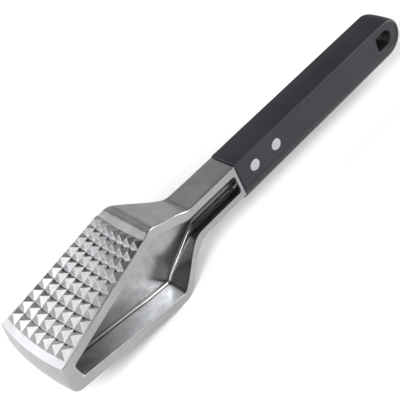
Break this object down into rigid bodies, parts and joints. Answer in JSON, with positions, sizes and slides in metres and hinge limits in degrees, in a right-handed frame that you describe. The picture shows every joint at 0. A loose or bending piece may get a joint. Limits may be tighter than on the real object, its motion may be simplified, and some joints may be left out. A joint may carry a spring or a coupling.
{
  "type": "meat tenderiser",
  "caption": "Hand mallet for meat: wedge-shaped cast head, toothed on one face and smooth on the other, open at the sides, on a riveted grip with a hanging hole.",
  "frame": {"origin": "middle of the underside of the part's box, below the smooth face's rear corner line", "axes": "+X along the handle towards its end, +Z out of the toothed face, Y across the head"},
  "size_m": [0.3128, 0.0638, 0.0598],
  "materials": {
    "cast_aluminium": "tumbled satin casting with ground side rims",
    "grip_polymer": "fine matt moulded, anthracite",
    "rivet_metal": "ground flush"
  },
  "bodies": {
    "root": {"head_casting": "cast_aluminium", "handle_grip": "grip_polymer", "rivet_front_tube": "rivet_metal", "rivet_front_pin": "rivet_metal", "rivet_rear_tube": "rivet_metal", "rivet_rear_pin": "rivet_metal"}
  },
  "joints": []
}
